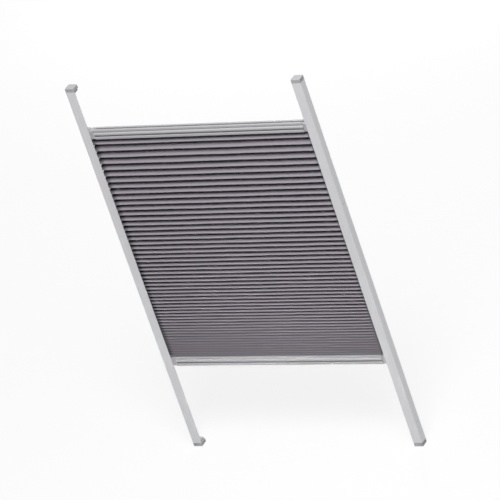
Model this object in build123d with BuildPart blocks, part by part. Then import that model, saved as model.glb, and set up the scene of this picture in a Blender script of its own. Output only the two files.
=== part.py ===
from build123d import *
import math
import os

os.makedirs("parts", exist_ok=True)

# A pleated blind: a folded cloth between two bars that slide in two side channels.
# The origin is at the foot of the channels, midway between them and midway through their depth.
# +X runs to the right, -Y faces the room and +Z runs up along the channels. Lengths are in mm.

# Overall sizes
channel_gap = 598.0  # clear width between the two channels
bottom_bar_height = 238.0  # foot of the channels to the underside of the bottom bar
cloth_drop = 627.0  # clear height between the two bars as the blind hangs
top_bar_drop = 119.0  # top of the channels down to the top of the top bar
running_clearance = 0.6  # round what slides
seat_clearance = 0.2  # round what is pushed into a seat
cord_clearance = 0.3  # between a cord and what it runs past
cut_overrun = 1.0  # how far a cut runs past its piece

# Side channels
channel_width = 24.0
channel_depth = 22.0
flange_wall = 1.6
web_wall = 2.5
back_flange_width = 10.0
channel_corner_radius = 1.2
channel_inside_radius = 0.5
flange_edge_radius = 0.7
line_groove_width = 1.6  # shallow line along the front face
line_groove_depth = 0.5
line_groove_place = 9.0  # outer side of the channel to the middle of the line
screw_hole_radius = 1.9
screw_head_radius = 3.3
screw_head_angle = 90.0
screw_end_margin = 67.0  # end of a channel's cap to its first screw
screw_pitch = 280.0  # first screw to the next

# End caps of the channels
cap_height = 10.0
cap_plug_height = 5.0
cap_plug_setback = 1.8  # inner face of the cap to its plug
cap_corner_radius = 1.5
cap_edge_chamfer = 0.8

# Bars, one extrusion for both
bar_depth = 18.0
bar_wall = 1.4
bar_end_gap = 11.0  # end of a bar to the inner face of its channel
bar_corner_radius = 0.8
front_lip_height = 6.0
front_lip_radius = 0.5
grip_height = 2.6
grip_depth = 3.0
bead_height = 8.8
bead_root_depth = 2.4
cove_height = 2.8
cove_depth = 2.8
brow_height = 4.8
brow_setback = 1.2
strip_slot_opening = 5.0
strip_slot_width = 10.0
strip_slot_depth = 3.0

# Cloth strips in the slots of the bars
strip_end_gap = 1.0  # end of a bar to the end of its strip
strip_stem_reach = 0.4  # how far the stem stands out of the bar

# Pleated cloth
fold_width = 16.0  # from one crease to the next, along the cloth
top_pitch_share = 1.19  # pleat pitch under the top bar, as a share of the fold width
bottom_pitch_share = 0.41  # pleat pitch over the bottom bar, where the pleats lie closer
cloth_thickness = 0.4
cloth_side_reach = 9.0  # how far the cloth runs into a channel

# Sliders at the ends of the bars
slider_plug_length = 20.0
slider_collar_length = 2.0
slider_collar_inset = 2.6
slider_head_inset = 0.7
slider_head_radius = 3.0
slider_head_chamfer = 0.8
slider_shoe_radius = 0.8
slider_neck_length = 2.8
slider_shoe_inset = 0.5  # how far a shoe stops short of the top and bottom of its bar
slider_shoe_wall = 1.5

# Tension cords and their ferrules
cord_radius = 0.6
cord_braid_sides = 6  # a six-strand braid, so its crimps and their seats have six sides too
cord_bend_radius = 4.0
cord_pitch = 2.4  # between neighbouring cords, through the depth
cord_web_gap = 4.0  # axis of a cord to the inner face of the web
cord_passage_margin = 0.4
ferrule_radius = 1.7
ferrule_length = 2.8
ferrule_bore_clearance = 0.1
ferrule_seat_margin = 0.3

# Heights up the blind
grip_top = front_lip_height + grip_height
bead_top = grip_top + bead_height
cove_top = bead_top + cove_height
bar_height = cove_top + brow_height
top_bar_height = bottom_bar_height + bar_height + cloth_drop
overall_height = top_bar_height + bar_height + top_bar_drop
bar_bases = {"top": top_bar_height, "bottom": bottom_bar_height}

# Places in a channel
side_signs = {"left": -1, "right": 1}
channel_length = overall_height - 2 * cap_height
channel_inner_face = channel_gap / 2
channel_outer_face = channel_inner_face + channel_width
channel_front = -channel_depth / 2
channel_back = channel_depth / 2
web_inner_face = channel_outer_face - web_wall
flange_inner_depth = channel_depth / 2 - flange_wall

# Places in a bar
bar_half_length = channel_inner_face - bar_end_gap
bar_front = -bar_depth / 2
bar_back = bar_depth / 2
bar_middle = bar_height / 2
chamber_front = bar_front + grip_depth + bar_wall
chamber_back = bar_back - bar_wall
chamber_floor = bar_wall + strip_slot_depth + bar_wall
chamber_ceiling = bar_height - chamber_floor

# Places of the cords: four depths side by side, two for each bar
cord_run = web_inner_face - cord_web_gap
post_place = cord_run - cord_bend_radius
post_radius = cord_bend_radius - cord_radius - cord_clearance
cord_hole_radius = cord_radius + cord_clearance
cord_middle = (chamber_front + chamber_back) / 2
pair_middles = {"top": cord_middle - cord_pitch, "bottom": cord_middle + cord_pitch}
cord_depths = {}
for bar, pair_middle in pair_middles.items():
    cord_depths[bar, "falling_right"] = pair_middle - cord_pitch / 2
    cord_depths[bar, "falling_left"] = pair_middle + cord_pitch / 2
ferrule_seat_radius = ferrule_radius + ferrule_seat_margin
ferrule_seat_depth = ferrule_length + ferrule_seat_margin


def across_plane(x, base):
    # a plane square to the bars: its own axes are the depth and the height above base
    return Plane(origin=(x, 0, base), x_dir=(0, 1, 0), z_dir=(1, 0, 0))


def tied_depths(end, side):
    # a cord that falls to the right is tied at the top left and the bottom right
    falls_right = (end == "top") == (side == "left")
    return [cord_depths[bar, "falling_right" if falls_right else "falling_left"] for bar in bar_bases]


# Side channels: a web with screw holes, a short back flange and a wide front flange over the cloth's edge
line_middle = channel_outer_face - line_groove_place
back_flange_edge = channel_outer_face - back_flange_width
channel_corners = [
    (channel_outer_face, channel_back, channel_corner_radius),
    (channel_outer_face, channel_front, channel_corner_radius),
    (line_middle + line_groove_width / 2, channel_front, 0),
    (line_middle, channel_front + line_groove_depth, 0),
    (line_middle - line_groove_width / 2, channel_front, 0),
    (channel_inner_face, channel_front, flange_edge_radius),
    (channel_inner_face, -flange_inner_depth, flange_edge_radius),
    (web_inner_face, -flange_inner_depth, channel_inside_radius),
    (web_inner_face, flange_inner_depth, channel_inside_radius),
    (back_flange_edge, flange_inner_depth, flange_edge_radius),
    (back_flange_edge, channel_back, flange_edge_radius),
]
screw_heights = []
for rise in (screw_end_margin, screw_end_margin + screw_pitch):
    screw_heights += [rise, overall_height - rise]
for side, sign in side_signs.items():
    with BuildPart() as channel:
        with BuildSketch(Plane.XY.offset(cap_height)):
            with BuildLine():
                FilletPolyline(
                    [(sign * x, y) for x, y, radius in channel_corners],
                    radius=[radius for x, y, radius in channel_corners],
                    close=True,
                )
            make_face()
        extrude(amount=channel_length)
        for screw_height in screw_heights:
            hole_plane = Plane(origin=(sign * web_inner_face, 0, screw_height), z_dir=(-sign, 0, 0))
            with Locations(hole_plane):
                CounterSinkHole(
                    screw_hole_radius,
                    screw_head_radius,
                    depth=web_wall + cut_overrun,
                    counter_sink_angle=screw_head_angle,
                )
    channel.part.label = f"{side}_channel"
    export_step(channel.part, f"parts/{side}_channel.step")

# End caps: a block over the end of a channel, a plug between its flanges and seats for two ferrules
cap_middle = channel_inner_face + channel_width / 2
cap_plug_inner_face = channel_inner_face + cap_plug_setback
cap_plug_outer_face = web_inner_face - seat_clearance
cap_plug_middle = (cap_plug_inner_face + cap_plug_outer_face) / 2
cap_plug_width = cap_plug_outer_face - cap_plug_inner_face
cap_plug_depth = 2 * (flange_inner_depth - seat_clearance)
cap_bases = {"top": overall_height - cap_height, "bottom": 0}
cap_plug_bases = {"top": overall_height - cap_height - cap_plug_height, "bottom": cap_height}
ferrule_seat_bases = {"top": overall_height - ferrule_seat_depth, "bottom": 0}
for end in cap_bases:
    for side, sign in side_signs.items():
        tie_places = [(sign * cord_run, depth) for depth in tied_depths(end, side)]
        with BuildPart() as end_cap:
            with BuildSketch(Plane.XY.offset(cap_bases[end])):
                with Locations((sign * cap_middle, 0)):
                    RectangleRounded(channel_width, channel_depth, cap_corner_radius)
            extrude(amount=cap_height)
            outer_face = end_cap.faces().sort_by(Axis.Z)[-1 if end == "top" else 0]
            chamfer(outer_face.edges(), length=cap_edge_chamfer)
            with BuildSketch(Plane.XY.offset(cap_plug_bases[end])):
                with Locations((sign * cap_plug_middle, 0)):
                    RectangleRounded(cap_plug_width, cap_plug_depth, cap_corner_radius)
            extrude(amount=cap_plug_height)
            with BuildSketch(Plane.XY.offset(min(cap_bases[end], cap_plug_bases[end]))):
                with Locations(*tie_places):
                    RegularPolygon(cord_hole_radius, cord_braid_sides)
            extrude(amount=cap_height + cap_plug_height, mode=Mode.SUBTRACT)
            with BuildSketch(Plane.XY.offset(ferrule_seat_bases[end])):
                with Locations(*tie_places):
                    RegularPolygon(ferrule_seat_radius, cord_braid_sides)
            extrude(amount=ferrule_seat_depth, mode=Mode.SUBTRACT)
        end_cap.part.label = f"{end}_{side}_end_cap"
        export_step(end_cap.part, f"parts/{end}_{side}_end_cap.step")

# Bars: a hollow extrusion with a lip, a grip groove, a bead and a cove down its front
chamber_depth = chamber_back - chamber_front
chamber_height = chamber_ceiling - chamber_floor
slot_middle = bar_wall + strip_slot_depth / 2
with BuildSketch() as bar_section:
    with BuildLine():
        Polyline((bar_back, 0), (bar_front, 0), (bar_front, front_lip_height))
        ThreePointArc(
            (bar_front, front_lip_height),
            (bar_front + grip_depth, front_lip_height + grip_height / 2),
            (bar_front + bead_root_depth, grip_top),
        )
        ThreePointArc(
            (bar_front + bead_root_depth, grip_top),
            (bar_front, grip_top + bead_height / 2),
            (bar_front + bead_root_depth, bead_top),
        )
        ThreePointArc(
            (bar_front + bead_root_depth, bead_top),
            (bar_front + cove_depth, bead_top + cove_height / 2),
            (bar_front + brow_setback, cove_top),
        )
        Polyline(
            (bar_front + brow_setback, cove_top),
            (bar_front + brow_setback, bar_height),
            (bar_back, bar_height),
            (bar_back, 0),
        )
    make_face()
    fillet(bar_section.vertices().group_by(Axis.X)[0].sort_by(Axis.Y)[-1], radius=front_lip_radius)
    fillet(bar_section.vertices().group_by(Axis.Y)[0], radius=bar_corner_radius)
    fillet(bar_section.vertices().group_by(Axis.Y)[-1], radius=bar_corner_radius)
    with Locations((cord_middle, bar_middle)):
        RectangleRounded(chamber_depth, chamber_height, bar_wall, mode=Mode.SUBTRACT)
    with Locations((0, slot_middle), (0, bar_height - slot_middle)):
        Rectangle(strip_slot_width, strip_slot_depth, mode=Mode.SUBTRACT)
    with Locations((0, bar_wall / 2), (0, bar_height - bar_wall / 2)):
        Rectangle(strip_slot_opening, bar_wall, mode=Mode.SUBTRACT)
for bar, base in bar_bases.items():
    with BuildPart() as cloth_bar:
        with BuildSketch(across_plane(-bar_half_length, base)):
            add(bar_section.sketch)
        extrude(amount=2 * bar_half_length)
    cloth_bar.part.label = f"{bar}_bar"
    export_step(cloth_bar.part, f"parts/{bar}_bar.step")

# Cloth strips: each head bears on the lips of its slot, and its stem carries an edge of the cloth
strip_half_length = bar_half_length - strip_end_gap
strip_head_width = strip_slot_width - 2 * seat_clearance
strip_head_height = strip_slot_depth - 2 * seat_clearance
strip_stem_width = strip_slot_opening - 2 * seat_clearance
strip_stem_height = bar_wall + strip_stem_reach
strip_mouths = {"top": (top_bar_height, 1), "bottom": (bottom_bar_height + bar_height, -1)}
for bar, (mouth, into_slot) in strip_mouths.items():
    with BuildPart() as strip:
        with BuildSketch(across_plane(-strip_half_length, mouth)):
            with Locations((0, into_slot * (bar_wall - strip_stem_height / 2))):
                Rectangle(strip_stem_width, strip_stem_height)
            with Locations((0, into_slot * (bar_wall + strip_head_height / 2))):
                Rectangle(strip_head_width, strip_head_height)
        extrude(amount=2 * strip_half_length)
    strip.part.label = f"{bar}_cloth_strip"
    export_step(strip.part, f"parts/{bar}_cloth_strip.step")

# Pleated cloth: one folded sheet whose pleats lie closer towards the bottom
cloth_half_width = channel_inner_face + cloth_side_reach
cloth_height = cloth_drop - 2 * strip_stem_reach
cloth_foot = bottom_bar_height + bar_height + strip_stem_reach
top_pitch = top_pitch_share * fold_width
bottom_pitch = bottom_pitch_share * fold_width
mean_pitch = (top_pitch - bottom_pitch) / math.log(top_pitch / bottom_pitch)
# both edges leave their strips towards the back, so there is half a pleat over
pleat_count = round(cloth_height / mean_pitch - 1 / 2) + 1 / 2
pitch_ratio = (bottom_pitch / top_pitch) ** (1 / (pleat_count - 1))


def pleat_drop(pleats):
    # how far below the top edge so many pleats reach
    return cloth_height * (1 - pitch_ratio**pleats) / (1 - pitch_ratio**pleat_count)


def half_thickness(pitch):
    # measured through the depth, so that the sheet has its thickness square to the fold
    return cloth_thickness * fold_width / pitch


cloth_top = cloth_foot + cloth_height
creases = [(0, cloth_top, half_thickness(top_pitch))]
for crease in range(round(2 * pleat_count)):
    pleats_above = (crease + 1 / 2) / 2
    pitch = pleat_drop(pleats_above + 1 / 2) - pleat_drop(pleats_above - 1 / 2)
    reach = math.sqrt(fold_width**2 - (pitch / 2) ** 2) / 2
    back_sign = 1 if crease % 2 == 0 else -1
    creases.append((back_sign * reach, cloth_top - pleat_drop(pleats_above), half_thickness(pitch)))
creases.append((0, cloth_foot, half_thickness(bottom_pitch)))
with BuildPart() as pleated_cloth:
    with BuildSketch(across_plane(-cloth_half_width, 0)):
        with BuildLine():
            front_side = [(depth - half, height) for depth, height, half in creases]
            back_side = [(depth + half, height) for depth, height, half in reversed(creases)]
            Polyline(front_side + back_side, close=True)
        make_face()
    extrude(amount=2 * cloth_half_width)
pleated_cloth.part.label = "pleated_cloth"
export_step(pleated_cloth.part, "parts/pleated_cloth.step")

# Sliders: a plug in the bar, a head beside the channel and a shoe with two cord posts inside it
collar_end = bar_half_length + slider_collar_length
head_end = channel_inner_face - running_clearance
neck_end = head_end + slider_neck_length
shoe_end = web_inner_face - running_clearance
head_depth = bar_depth - 2 * slider_head_inset
neck_height = bar_height - 2 * (slider_head_inset + slider_head_radius)
shoe_depth = 2 * (flange_inner_depth - running_clearance)
shoe_height = bar_height - 2 * slider_shoe_inset
pocket_start = post_place - cord_bend_radius
pocket_depth = shoe_depth - 2 * slider_shoe_wall
passage_height = 2 * (cord_radius + cord_passage_margin)
passage_start = bar_half_length - slider_plug_length - cut_overrun
head_corners = [
    (collar_end, slider_head_inset, 0),
    (head_end, slider_head_inset, slider_head_radius),
    (head_end, bar_height - slider_head_inset, slider_head_radius),
    (collar_end, bar_height - slider_head_inset, 0),
]
for bar, base in bar_bases.items():
    for side, sign in side_signs.items():
        with BuildPart() as slider:
            with BuildSketch(Plane.XZ.offset(-head_depth / 2)):
                with BuildLine():
                    FilletPolyline(
                        [(sign * x, base + z) for x, z, radius in head_corners],
                        radius=[radius for x, z, radius in head_corners],
                        close=True,
                    )
                make_face()
            extrude(amount=head_depth)
            chamfer(slider.faces().sort_by(Axis.Y)[0].edges(), length=slider_head_chamfer)
            with BuildSketch(across_plane(sign * bar_half_length, base)):
                with Locations((0, bar_middle)):
                    Rectangle(bar_depth - 2 * slider_collar_inset, bar_height - 2 * slider_collar_inset)
            extrude(amount=sign * slider_collar_length)
            with BuildSketch(across_plane(sign * bar_half_length, base)):
                with Locations((cord_middle, bar_middle)):
                    RectangleRounded(
                        chamber_depth - 2 * seat_clearance,
                        chamber_height - 2 * seat_clearance,
                        bar_wall,
                    )
            extrude(amount=-sign * slider_plug_length)
            with BuildSketch(across_plane(sign * head_end, base)):
                with Locations((0, bar_middle)):
                    Rectangle(head_depth, neck_height)
            extrude(amount=sign * slider_neck_length)
            with BuildSketch(across_plane(sign * neck_end, base)):
                with Locations((0, bar_middle)):
                    RectangleRounded(shoe_depth, shoe_height, slider_shoe_radius)
            extrude(amount=sign * (shoe_end - neck_end))
            with BuildSketch(across_plane(sign * pocket_start, base)):
                with Locations((0, bar_middle)):
                    Rectangle(pocket_depth, shoe_height + 2 * cut_overrun)
            extrude(amount=sign * (shoe_end - pocket_start + cut_overrun), mode=Mode.SUBTRACT)
            with BuildSketch(Plane.XZ.offset(-pocket_depth / 2)):
                with Locations(
                    (sign * post_place, base + bar_middle - cord_bend_radius),
                    (sign * post_place, base + bar_middle + cord_bend_radius),
                ):
                    Circle(post_radius)
            extrude(amount=pocket_depth)
            with BuildSketch(across_plane(sign * passage_start, base)):
                with Locations((pair_middles[bar], bar_middle)):
                    SlotCenterToCenter(cord_pitch, passage_height)
            extrude(amount=sign * (pocket_start - passage_start), mode=Mode.SUBTRACT)
        slider.part.label = f"{bar}_bar_{side}_slider"
        export_step(slider.part, f"parts/{bar}_bar_{side}_slider.step")

# Tension cords: down one channel, across inside the bar and on down the other channel
cord_ends = (overall_height - ferrule_seat_margin, ferrule_seat_margin)
for (bar, direction), depth in cord_depths.items():
    start_sign = -1 if direction == "falling_right" else 1
    crossing_height = bar_bases[bar] + bar_middle
    with BuildPart() as cord:
        with BuildLine() as route:
            FilletPolyline(
                (start_sign * cord_run, depth, cord_ends[0]),
                (start_sign * cord_run, depth, crossing_height),
                (-start_sign * cord_run, depth, crossing_height),
                (-start_sign * cord_run, depth, cord_ends[1]),
                radius=cord_bend_radius,
            )
        with BuildSketch(Plane(origin=route.line @ 0, z_dir=route.line % 0)):
            RegularPolygon(cord_radius, cord_braid_sides)
        sweep()
    cord_length = route.wires()[0].length
    print(f"{bar} bar cord {direction}: length {cord_length:.1f}, volume {cord.part.volume:.1f}")
    cord.part.label = f"{bar}_bar_cord_{direction}"
    export_step(cord.part, f"parts/{bar}_bar_cord_{direction}.step")

# Cord ferrules, crimped on the ends of the cords and drawn into their seats
ferrule_bases = {"top": overall_height - ferrule_seat_depth, "bottom": ferrule_seat_margin}
with BuildPart() as ferrules:
    for end, ferrule_base in ferrule_bases.items():
        with BuildSketch(Plane.XY.offset(ferrule_base)):
            for side, sign in side_signs.items():
                with Locations(*[(sign * cord_run, depth) for depth in tied_depths(end, side)]):
                    RegularPolygon(ferrule_radius, cord_braid_sides)
                    RegularPolygon(
                        cord_radius + ferrule_bore_clearance, cord_braid_sides, mode=Mode.SUBTRACT
                    )
        extrude(amount=ferrule_length)
ferrules.part.label = "cord_ferrules"
export_step(ferrules.part, "parts/cord_ferrules.step")
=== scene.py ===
import bpy
import math
import random
from mathutils import Matrix, Vector


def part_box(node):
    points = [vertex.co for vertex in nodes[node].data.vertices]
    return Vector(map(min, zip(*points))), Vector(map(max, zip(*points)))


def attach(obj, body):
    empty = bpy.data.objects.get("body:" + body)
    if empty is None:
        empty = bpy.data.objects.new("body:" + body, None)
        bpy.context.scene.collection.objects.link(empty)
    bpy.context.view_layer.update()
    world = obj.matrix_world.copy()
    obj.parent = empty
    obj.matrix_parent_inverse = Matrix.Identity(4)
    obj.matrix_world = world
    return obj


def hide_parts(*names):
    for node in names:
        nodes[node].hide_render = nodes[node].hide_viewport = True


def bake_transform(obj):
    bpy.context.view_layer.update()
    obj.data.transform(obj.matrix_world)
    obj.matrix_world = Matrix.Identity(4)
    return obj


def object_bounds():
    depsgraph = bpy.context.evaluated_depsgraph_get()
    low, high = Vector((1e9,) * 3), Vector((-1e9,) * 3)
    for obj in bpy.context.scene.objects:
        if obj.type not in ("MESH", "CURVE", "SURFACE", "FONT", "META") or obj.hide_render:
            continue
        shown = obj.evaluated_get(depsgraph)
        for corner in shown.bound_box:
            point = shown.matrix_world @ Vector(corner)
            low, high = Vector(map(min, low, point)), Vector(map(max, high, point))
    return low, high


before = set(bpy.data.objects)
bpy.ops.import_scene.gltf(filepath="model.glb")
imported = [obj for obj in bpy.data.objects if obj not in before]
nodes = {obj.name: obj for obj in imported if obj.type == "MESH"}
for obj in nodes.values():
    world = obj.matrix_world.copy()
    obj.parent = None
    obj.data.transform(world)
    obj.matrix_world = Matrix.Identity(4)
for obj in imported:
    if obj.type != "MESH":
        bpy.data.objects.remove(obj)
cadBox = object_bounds()
bpy.ops.object.select_all(action="DESELECT")  # the loaded nodes come in selected
print("frame loaded:", len(nodes), "nodes")

bars = ("top_bar", "bottom_bar")
smoothAngle = math.radians(50)  # flatter edges than this are shaded smooth


class Wire:  # a shader socket that can stand in a sum
    def __init__(self, tree, socket=None):
        self.tree = tree
        self.socket = socket

    def add(self, kind, settings=None, sockets=None, output=0):
        made = self.tree.nodes.new(kind)
        for name, value in (settings or {}).items():
            setattr(made, name, value)
        for name, value in (sockets or {}).items():
            if isinstance(value, Wire):
                self.tree.links.new(value.socket, made.inputs[name])
            else:
                made.inputs[name].default_value = value
        return Wire(self.tree, made.outputs[output] if made.outputs else None)

    def maths(self, operation, first, second=0.0):
        return self.add("ShaderNodeMath", {"operation": operation}, {0: first, 1: second})

    def mix(self, factor, first, second):  # colours only
        return self.add("ShaderNodeMix", {"data_type": "RGBA"}, {0: factor, 6: first, 7: second}, 2)

    def axis(self, name):  # one number of this vector
        return self.add("ShaderNodeSeparateXYZ", {}, {"Vector": self}, name)

    def noise(self, scale, detail, dimensions="3D"):  # over this vector
        return self.add("ShaderNodeTexNoise", {"noise_dimensions": dimensions}, {
            "Vector": self, "Scale": scale, "Detail": detail})

    def __add__(self, other):
        return self.maths("ADD", self, other)

    def __sub__(self, other):
        return self.maths("SUBTRACT", self, other)

    def __rsub__(self, other):
        return self.maths("SUBTRACT", other, self)

    def __mul__(self, other):
        return self.maths("MULTIPLY", self, other)

    __radd__ = __add__
    __rmul__ = __mul__


def startFinish(name):
    finish = bpy.data.materials.new(name)
    finish.use_nodes = True
    finish.node_tree.nodes.clear()
    return finish, Wire(finish.node_tree)


def grey(red, green, blue):  # a colour as a picture editor shows it, 0 to 255
    return tuple(((c / 255 + 0.055) / 1.055) ** 2.4 for c in (red, green, blue)) + (1.0,)


def shaded(tone, share):  # the same colour, darker or lighter
    return tuple(c * share for c in tone[:3]) + (1.0,)


# satin anodised aluminium, with the faint lines that the die draws along an extrusion, and painted shade at
# the back of each bar's grip groove
satin = {
    "barTone": grey(192, 191, 194),
    "barMetal": 0.2,
    "channelTone": grey(226, 226, 229),
    "channelMetal": 0.4,
    "toneSpread": 0.06,
    "roughness": 0.4,
    "roughSpread": 0.1,
    "lineDensity": 2600.0,  # across the extrusion, per metre
    "lineStretch": 400.0,  # how much longer than wide a line is
    "lineDetail": 4.0,
    "lineShare": 0.6,  # of the tone, and the clouds have the rest
    "lineRelief": 0.00002,
    "lineStrength": 0.25,
    "cloudDensity": 18.0,
    "cloudDetail": 3.0,
    "gripHeights": (0.0059, 0.0087),  # of the grip groove, above the foot of a bar
    "gripDepth": 0.003,
    "gripReach": 1.1,  # in groove depths, how far back still counts as the groove
    # painted shade in the grip groove: its dark tone, and how much of it the back of the groove takes on
    "grooveShadeTone": grey(20, 20, 20),
    "grooveShadeShare": 0.68,
}


def grooveShadeMask(wire, place, bar):  # painted shade: 1 at the back of a bar's grip groove, 0 at its mouth, darkening the groove where its shadow falls
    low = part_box(bar)[0]
    depth = place.axis("Y")
    height = place.axis("Z")
    under, over = (low.z + rise for rise in satin["gripHeights"])
    within = wire.maths("GREATER_THAN", height, under) * wire.maths("LESS_THAN", height, over)
    sunk = (depth - low.y) * (1 / satin["gripDepth"])
    return within * sunk * wire.maths("LESS_THAN", sunk, satin["gripReach"])


def satinAluminium(name, tone, along, metal, bar=None):
    finish, wire = startFinish(name)
    place = wire.add("ShaderNodeTexCoord", output="Object")
    density = [satin["lineDensity"]] * 3
    density[along] /= satin["lineStretch"]
    stretched = wire.add("ShaderNodeMapping", {}, {"Vector": place, "Scale": density})
    lines = stretched.noise(1.0, satin["lineDetail"])
    cloud = place.noise(satin["cloudDensity"], satin["cloudDetail"])
    dark = shaded(tone, 1 - satin["toneSpread"])
    light = shaded(tone, 1 + satin["toneSpread"])
    colour = wire.mix(lines * satin["lineShare"] + cloud * (1 - satin["lineShare"]), dark, light)
    if bar:
        # painted shade darkens the grip groove toward its back
        colour = wire.mix(grooveShadeMask(wire, place, bar) * satin["grooveShadeShare"], colour, satin["grooveShadeTone"])
    rough = (cloud - 0.5) * satin["roughSpread"] + satin["roughness"]
    relief = wire.add("ShaderNodeBump", {}, {
        "Strength": satin["lineStrength"], "Distance": satin["lineRelief"], "Height": lines})
    skin = wire.add("ShaderNodeBsdfPrincipled", {}, {
        "Base Color": colour, "Metallic": metal, "Roughness": rough, "Normal": relief})
    wire.add("ShaderNodeOutputMaterial", {}, {"Surface": skin})
    return finish


# moulded grey plastic with a fine spark-eroded grain
moulded = {
    "capTone": grey(196, 196, 199),
    "stripTone": grey(120, 118, 122),
    "deepShare": 0.9,  # the darkest tone, against the palest
    "roughness": 0.52,
    "roughSpread": 0.2,
    "grainDensity": 1400.0,
    "grainDetail": 2.0,
    "grainRelief": 0.00006,
    "grainStrength": 0.3,
    "flowDensity": 60.0,
    "flowDetail": 3.0,
    "flowShare": 0.7,  # of the tone, and the grain has the rest
}


def mouldedPlastic(name, tone):
    finish, wire = startFinish(name)
    place = wire.add("ShaderNodeTexCoord", output="Object")
    grain = place.noise(moulded["grainDensity"], moulded["grainDetail"])
    flow = place.noise(moulded["flowDensity"], moulded["flowDetail"])
    deep = shaded(tone, moulded["deepShare"])
    colour = wire.mix(flow * moulded["flowShare"] + grain * (1 - moulded["flowShare"]), deep, tone)
    rough = (grain - 0.5) * moulded["roughSpread"] + moulded["roughness"]
    relief = wire.add("ShaderNodeBump", {}, {
        "Strength": moulded["grainStrength"], "Distance": moulded["grainRelief"], "Height": grain})
    skin = wire.add("ShaderNodeBsdfPrincipled", {}, {
        "Base Color": colour, "Roughness": rough, "Normal": relief})
    wire.add("ShaderNodeOutputMaterial", {}, {"Surface": skin})
    return finish


finishes = {}  # by how the name of a node ends
for bar in bars:
    finishes[bar] = satinAluminium(
        f"{bar}Aluminium", satin["barTone"], along=0, metal=satin["barMetal"], bar=bar)
finishes["channel"] = satinAluminium(
    "channelAluminium", satin["channelTone"], along=2, metal=satin["channelMetal"])
finishes["ferrules"] = finishes["channel"]
finishes["end_cap"] = mouldedPlastic("capPlastic", moulded["capTone"])
finishes["slider"] = finishes["end_cap"]
finishes["strip"] = mouldedPlastic("stripPlastic", moulded["stripTone"])
for name, node in nodes.items():
    for ending, finish in finishes.items():
        if name.endswith(ending):
            node.material_slots[0].material = finish
print("metal and plastic finishes set")


def startPiece(name, points, faces):  # a new mesh, linked, selected and active
    mesh = bpy.data.meshes.new(name)
    mesh.from_pydata(points, [], faces)
    mesh.uv_layers.new(name="flat")
    piece = bpy.data.objects.new(name, mesh)
    bpy.context.scene.collection.objects.link(piece)
    bpy.ops.object.select_all(action="DESELECT")
    piece.select_set(True)
    bpy.context.view_layer.objects.active = piece
    return piece


# woven polyester: a plain weave whose threads differ a little in tone
weave = {
    "deep": grey(132, 127, 134),
    "pale": grey(158, 152, 160),
    "threadPitch": 0.00045,
    "threadRelief": 0.00012,
    "threadStrength": 0.4,
    "streakLength": 0.06,
    "streakDetail": 1.0,
    "toneShares": (0.5, 0.3, 0.2),  # of streaks across, streaks down and the threads' relief, which paints shade where the threads dip
    "creaseHighlight": 0.35,  # painted highlight and shade: how much paler the cloth is along its creases, and darker midway between them, standing in for the pleats' shading
    "edgeShadeWidth": 0.011,  # beside the channels, how wide the painted shade is where the cloth meets them
    "edgeShadeTone": grey(30, 29, 31),
    "edgeShadeShare": 0.7,
    "roughness": 0.85,
    "sheen": 0.03,
}

# the cloth: one sheet folded to and fro, its pleats closer together lower down
cloth = {
    "pleats": 53.5,  # half a pleat over, so the first and last creases are both at the back
    "fold": 0.016,  # crease to crease along the cloth
    "topPitch": 1.19,  # pleat pitches as shares of the fold
    "bottomPitch": 0.41,
    "sharpness": 0.985,  # 1 is a knife crease
    "aroundCrease": (-60, -30, -14, -6, 0, 6, 14, 30, 60),  # degrees of the pleat's wave
    "columns": 44,
    "thickness": 0.0004,
    "waver": 0.00025,  # how far a crease strays from straight
    "waverLength": 0.31,
    "rippleShare": 0.6,  # a second wave on the first
    "rippleSpeed": 2.3,  # how much shorter it is
    "heldHeight": 0.03,  # creases straighten over this height beside a bar
    "fullTurn": 6.28,  # near enough for a waver
    "seed": 7,
}


def wovenCloth():
    finish, wire = startFinish("wovenCloth")
    flat = wire.add("ShaderNodeUVMap", {"uv_map": "flat"})
    across = flat.axis("X")
    down = flat.axis("Y")
    turn = 2 * math.pi / (2 * weave["threadPitch"])
    warp = wire.maths("SINE", across * turn)
    weft = wire.maths("SINE", down * turn)
    height = warp * weft * 0.5 + 0.5
    short, long = 1 / weave["threadPitch"], 1 / weave["streakLength"]
    streaks = []
    for density in ((long, short, 1.0), (short, long, 1.0)):
        drawn = wire.add("ShaderNodeMapping", {}, {"Vector": flat, "Scale": density})
        streaks.append(drawn.noise(1.0, weave["streakDetail"], "2D"))
    acrossShare, downShare, reliefShadeShare = weave["toneShares"]
    # the threads' relief paints shade into the tone where the threads dip
    threads = streaks[0] * acrossShare + streaks[1] * downShare + height * reliefShadeShare
    # painted highlight along every crease and painted shade midway between creases
    crease = wire.maths("ABSOLUTE", wire.maths("SINE", down * (math.pi / cloth["fold"])))
    tone = wire.mix(threads + (crease * 2 - 1) * weave["creaseHighlight"], weave["deep"], weave["pale"])
    # painted shade: the cloth darkens over its last stretch beside each channel, where the gap to the
    # channel lies in shadow
    low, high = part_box("pleated_cloth")
    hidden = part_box("left_channel")[1].x - low.x
    fromEdge = wire.maths("MINIMUM", across, (high.x - low.x) - across)
    unshaded = (fromEdge - hidden) * (1 / weave["edgeShadeWidth"])
    unshaded = wire.maths("MINIMUM", wire.maths("MAXIMUM", unshaded, 0.0), 1.0)
    tone = wire.mix((1 - unshaded) * weave["edgeShadeShare"], tone, weave["edgeShadeTone"])
    relief = wire.add("ShaderNodeBump", {}, {
        "Strength": weave["threadStrength"], "Distance": weave["threadRelief"], "Height": height})
    skin = wire.add("ShaderNodeBsdfPrincipled", {}, {
        "Base Color": tone, "Roughness": weave["roughness"],
        "Sheen Weight": weave["sheen"], "Normal": relief})
    wire.add("ShaderNodeOutputMaterial", {}, {"Surface": skin})
    return finish


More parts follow.
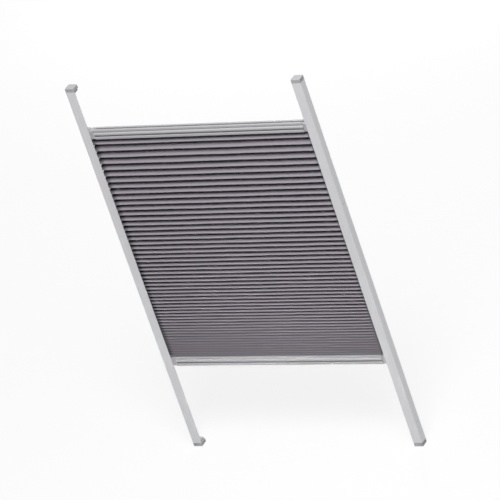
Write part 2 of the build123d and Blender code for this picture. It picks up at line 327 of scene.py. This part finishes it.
def clothRows():  # depth, height, distance down the cloth and pleat of each row of points
    low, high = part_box("pleated_cloth")
    count, fold = cloth["pleats"], cloth["fold"]
    ratio = (cloth["bottomPitch"] / cloth["topPitch"]) ** (1 / (count - 1))

    def drop(pleats):  # how far down so many pleats reach
        return (high.z - low.z) * (1 - ratio ** pleats) / (1 - ratio ** count)

    rows = [(0.0, high.z, 0.0, 0)]
    for crease in range(round(2 * count)):
        above = (crease + 0.5) / 2
        pitch = drop(above + 0.5) - drop(above - 0.5)
        reach = math.sqrt(fold ** 2 - (pitch / 2) ** 2) / 2
        side = 1 if crease % 2 == 0 else -1  # the first crease is at the back
        for offset in cloth["aroundCrease"]:
            swing = math.cos(math.radians(offset)) * cloth["sharpness"]
            depth = side * reach * math.asin(swing) / math.asin(cloth["sharpness"])
            run = above + offset / 360
            rows.append((depth, high.z - drop(run), 2 * fold * run, crease // 2))
    rows.append((0.0, low.z, 2 * fold * count, crease // 2))
    return rows


def clothPiece(name, rows):
    low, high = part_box("pleated_cloth")
    chance = random.Random(cloth["seed"])
    turn = cloth["fullTurn"]
    phases = []
    for pleat in range(math.ceil(cloth["pleats"])):
        phases.append((chance.uniform(0, turn), chance.uniform(0, turn)))
    points, faces, flats = [], [], []
    across = cloth["columns"] + 1
    for depth, height, run, pleat in rows:
        held = min(1.0, (high.z - height) / cloth["heldHeight"], (height - low.z) / cloth["heldHeight"])
        first, second = phases[pleat]
        for column in range(across):
            x = low.x + (high.x - low.x) * column / cloth["columns"]
            stray = math.sin(turn * x / cloth["waverLength"] + first)
            ripple = math.sin(turn * x / cloth["waverLength"] * cloth["rippleSpeed"] + second)
            stray += cloth["rippleShare"] * ripple
            points.append((x, depth, height + held * cloth["waver"] * stray))
            flats.append((x - low.x, run))
    for row in range(len(rows) - 1):
        for column in range(cloth["columns"]):
            corner = row * across + column
            faces.append((corner, corner + across, corner + across + 1, corner + 1))
    piece = startPiece(name, points, faces)
    layer = piece.data.uv_layers["flat"]
    for loop in piece.data.loops:
        layer.data[loop.index].uv = flats[loop.vertex_index]
    wall = piece.modifiers.new("wall", "SOLIDIFY")
    wall.thickness = cloth["thickness"]
    wall.offset = 0.0
    bpy.ops.object.modifier_apply(modifier="wall")
    bpy.ops.object.shade_smooth_by_angle(angle=smoothAngle)
    return piece


# the cloth is parted at a back crease near its middle, into an upper and a lower piece
clothFinish = wovenCloth()
rows = clothRows()
middle = (rows[0][1] + rows[-1][1]) / 2
perCrease = len(cloth["aroundCrease"])
backCreases = range(1 + perCrease // 2, len(rows), 2 * perCrease)
split = min(backCreases, key=lambda row: abs(rows[row][1] - middle))
halves = {
    "upperCloth": (rows[:split + 1], "top_bar", "frame", "top_cloth_strip"),
    "lowerCloth": (rows[split:], "frame", "bottom_bar", "bottom_cloth_strip"),
}
for name, (part, first, second, strip) in halves.items():
    piece = clothPiece(name, part)
    piece.data.materials.append(clothFinish)
    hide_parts("pleated_cloth")
    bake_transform(piece)
    part[-1][2] - part[0][2]
    print(name, len(part), "rows,", len(piece.data.polygons), "faces")

# braided cords, tight round the posts of the sliders and across inside each bar
cord = {
    "radius": 0.0006,
    "bend": 0.004,
    "sides": 12,
    "bendSteps": 8,
    # the braid's tone: deep is painted shade where the strands dip, pale is their crowns
    "deep": grey(150, 150, 152),
    "pale": grey(205, 205, 207),
    "roughness": 0.7,
    "strandPitch": 0.0022,  # along the cord, one strand's full turn
    "strands": 3,  # wound each way
    "strandRelief": 0.25,  # as a share of the radius
    "strandStrength": 0.6,
}


def braid():
    finish, wire = startFinish("braid")
    along = wire.add("ShaderNodeUVMap", {"uv_map": "flat"})
    wound = along.axis("X") * (2 * math.pi / cord["strandPitch"])
    turn = along.axis("Y") * cord["strands"]
    height = wire.maths("SINE", wound + turn) * wire.maths("SINE", wound - turn) * 0.5 + 0.5
    relief = wire.add("ShaderNodeBump", {}, {
        "Strength": cord["strandStrength"],
        "Distance": cord["radius"] * cord["strandRelief"], "Height": height})
    # painted shade: the braid is darker where its strands dip
    skin = wire.add("ShaderNodeBsdfPrincipled", {}, {
        "Base Color": wire.mix(height, cord["deep"], cord["pale"]),
        "Roughness": cord["roughness"], "Normal": relief})
    wire.add("ShaderNodeOutputMaterial", {}, {"Surface": skin})
    return finish


def cordPiece(name, path):
    points, flats, faces = [], [], []
    sides = cord["sides"]
    run = 0.0
    for step, place in enumerate(path):
        ahead = (path[min(step + 1, len(path) - 1)] - path[max(step - 1, 0)]).normalized()
        side = Vector((0, 1, 0))  # every cord lies in a plane square to the depth
        out = side.cross(ahead)
        run += (place - path[step - 1]).length if step else 0.0
        for corner in range(sides):
            angle = 2 * math.pi * corner / sides
            points.append(place + (side * math.cos(angle) + out * math.sin(angle)) * cord["radius"])
            flats.append((run, angle))
    for step in range(len(path) - 1):
        for corner in range(sides):
            here, beside = step * sides + corner, step * sides + (corner + 1) % sides
            faces.append((here, beside, beside + sides, here + sides))
    last = (len(path) - 1) * sides
    faces.append(tuple(reversed(range(sides))))
    faces.append(tuple(range(last, last + sides)))
    piece = startPiece(name, points, faces)
    mesh = piece.data
    layer = mesh.uv_layers["flat"]
    for face in mesh.polygons:
        wraps = len(face.vertices) == 4 and face.vertices[1] % sides == 0
        for loop in face.loop_indices:
            corner = mesh.loops[loop].vertex_index
            run, angle = flats[corner]
            layer.data[loop].uv = (run, angle + (2 * math.pi if wraps and corner % sides == 0 else 0))
    bpy.ops.object.mode_set(mode="EDIT")
    bpy.ops.mesh.select_all(action="SELECT")
    bpy.ops.mesh.normals_make_consistent(inside=False)
    bpy.ops.object.mode_set(mode="OBJECT")
    bpy.ops.object.shade_smooth_by_angle(angle=smoothAngle)
    return piece


braidFinish = braid()
for bar in bars:
    crossing = sum(corner.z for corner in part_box(bar)) / 2
    for way, start in (("falling_right", -1), ("falling_left", 1)):
        node = f"{bar}_cord_{way}"
        low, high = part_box(node)
        depth = (low.y + high.y) / 2
        reach = high.x - cord["radius"]
        bend = cord["bend"]
        inner = []
        for step in range(cord["bendSteps"] + 1):  # down, then across
            angle = math.pi / 2 * step / cord["bendSteps"]
            inner.append(Vector((start * (reach - bend + bend * math.cos(angle)), depth,
                                 crossing + bend - bend * math.sin(angle))))
        outer = [Vector((-p.x, depth, 2 * crossing - p.z)) for p in reversed(inner)]
        top = Vector((start * reach, depth, high.z))
        foot = Vector((-start * reach, depth, low.z))
        pieces = {
            "upper": cordPiece(f"{node}.upper", [top, inner[0]]),
            "crossing": cordPiece(f"{node}.crossing", inner + outer),
            "lower": cordPiece(f"{node}.lower", [outer[-1], foot]),
        }
        for piece in pieces.values():
            piece.data.materials.append(braidFinish)
            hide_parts(node)
        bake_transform(pieces["upper"])
        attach(pieces["crossing"], bar)
        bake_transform(pieces["lower"])
print("cords strung")

# stage: a pale floor under the blind and a white surround
stage = {
    "floorSize": 40.0,
    "floorDrop": 0.0005,  # just clear of the feet of the channels
    "floorTone": grey(252, 252, 252),
    "bounceTone": grey(80, 80, 80),  # what the floor throws back on to the blind
    "shadowShare": 0.14,  # how much of the floor's own shading the camera sees
    "ambient": 0.015,  # what the surround adds to the light
}

# a soft lamp high on the right, two weak ones low in front and one behind
lamps = {
    "keyLamp": {"place": (1.6, -2.2, 4.6), "aim": (0, 0, 0.56), "size": 2.2, "power": 268.0, "spread": 180},
    "fillLamp": {"place": (1.5, -2.6, 0.75), "aim": (0, 0, 0.1), "size": 0.6, "power": 0.32, "spread": 24},
    "lowLamp": {"place": (1.1, -2.3, 0.14), "aim": (0, 0, 0.25), "size": 0.2, "power": 0.2, "spread": 18},
    "backLamp": {"place": (-1.3, 3.4, 0.6), "aim": (0, 0, 0.56), "size": 1.1, "power": 72.0, "spread": 180},
}


def seenRays(wire):  # 1 for what the camera sees, straight, mirrored or through something clear
    camera = wire.add("ShaderNodeLightPath", output="Is Camera Ray")
    glossy = wire.add("ShaderNodeLightPath", output="Is Glossy Ray")
    clear = wire.add("ShaderNodeLightPath", output="Is Transmission Ray")
    return wire.maths("MAXIMUM", wire.maths("MAXIMUM", camera, glossy), clear)


def makeFloor():
    bpy.ops.object.select_all(action="DESELECT")
    bpy.ops.mesh.primitive_plane_add(
        size=stage["floorSize"], location=(0, 0, cadBox[0][2] - stage["floorDrop"]))
    floor = bpy.context.object
    floor.name = "floor"
    bpy.ops.object.transform_apply(location=True, rotation=True, scale=True)
    finish, wire = startFinish("floorPaint")
    paint = wire.add("ShaderNodeBsdfDiffuse", {}, {"Color": stage["floorTone"]})
    white = wire.add("ShaderNodeEmission", {}, {"Color": (1, 1, 1, 1), "Strength": 1.0})
    pale = wire.add("ShaderNodeMixShader", {}, {0: 1 - stage["shadowShare"], 1: paint, 2: white})
    bounce = wire.add("ShaderNodeBsdfDiffuse", {}, {"Color": stage["bounceTone"]})
    both = wire.add("ShaderNodeMixShader", {}, {0: seenRays(wire), 1: bounce, 2: pale})
    wire.add("ShaderNodeOutputMaterial", {}, {"Surface": both})
    floor.data.materials.append(finish)


def makeWorld():
    world = bpy.data.worlds.new("studio")
    world.use_nodes = True
    world.node_tree.nodes.clear()
    wire = Wire(world.node_tree)
    strength = seenRays(wire) * (1 - stage["ambient"]) + stage["ambient"]
    air = wire.add("ShaderNodeBackground", {}, {"Color": (1, 1, 1, 1), "Strength": strength})
    wire.add("ShaderNodeOutputWorld", {}, {"Surface": air})
    bpy.context.scene.world = world


def makeLamp(name, lamp):
    light = bpy.data.lights.new(name, "AREA")
    light.energy = lamp["power"]
    light.size = lamp["size"]
    light.spread = math.radians(lamp["spread"])
    holder = bpy.data.objects.new(name, light)
    bpy.context.scene.collection.objects.link(holder)
    place, aim = Vector(lamp["place"]), Vector(lamp["aim"])
    turned = (aim - place).to_track_quat("-Z", "Y").to_matrix().to_4x4()
    holder.matrix_world = Matrix.Translation(place) @ turned


# the camera stands well back, above and to the right, and is turned about its own axis
view = {
    "azimuth": 35.27,
    "elevation": 27.421,
    "roll": -19.289,
    "distance": 12.3219,
    "target": (0.0239, 0.001, 0.5625),
    "fieldOfView": 5.5397,
    "farthest": 200.0,
}


def makeCamera():
    azimuth, elevation, roll = (math.radians(view[turn]) for turn in ("azimuth", "elevation", "roll"))
    back = Vector((math.sin(azimuth) * math.cos(elevation), -math.cos(azimuth) * math.cos(elevation),
                   math.sin(elevation)))
    level = Vector((0, 0, 1)).cross(back).normalized()
    upright = back.cross(level)
    right = level * math.cos(roll) + upright * math.sin(roll)
    up = upright * math.cos(roll) - level * math.sin(roll)
    lens = bpy.data.cameras.new("photoCamera")
    lens.sensor_fit = "HORIZONTAL"
    lens.angle = math.radians(view["fieldOfView"])
    lens.clip_end = view["farthest"]
    camera = bpy.data.objects.new("photoCamera", lens)
    bpy.context.scene.collection.objects.link(camera)
    turned = Matrix((right, up, back)).transposed().to_4x4()
    camera.matrix_world = Matrix.Translation(Vector(view["target"]) + back * view["distance"]) @ turned
    bpy.context.scene.camera = camera


makeFloor()
makeWorld()
for name, lamp in lamps.items():
    makeLamp(name, lamp)
makeCamera()
bpy.context.scene.view_settings.view_transform = "Standard"
print("stage, lamps and camera set")
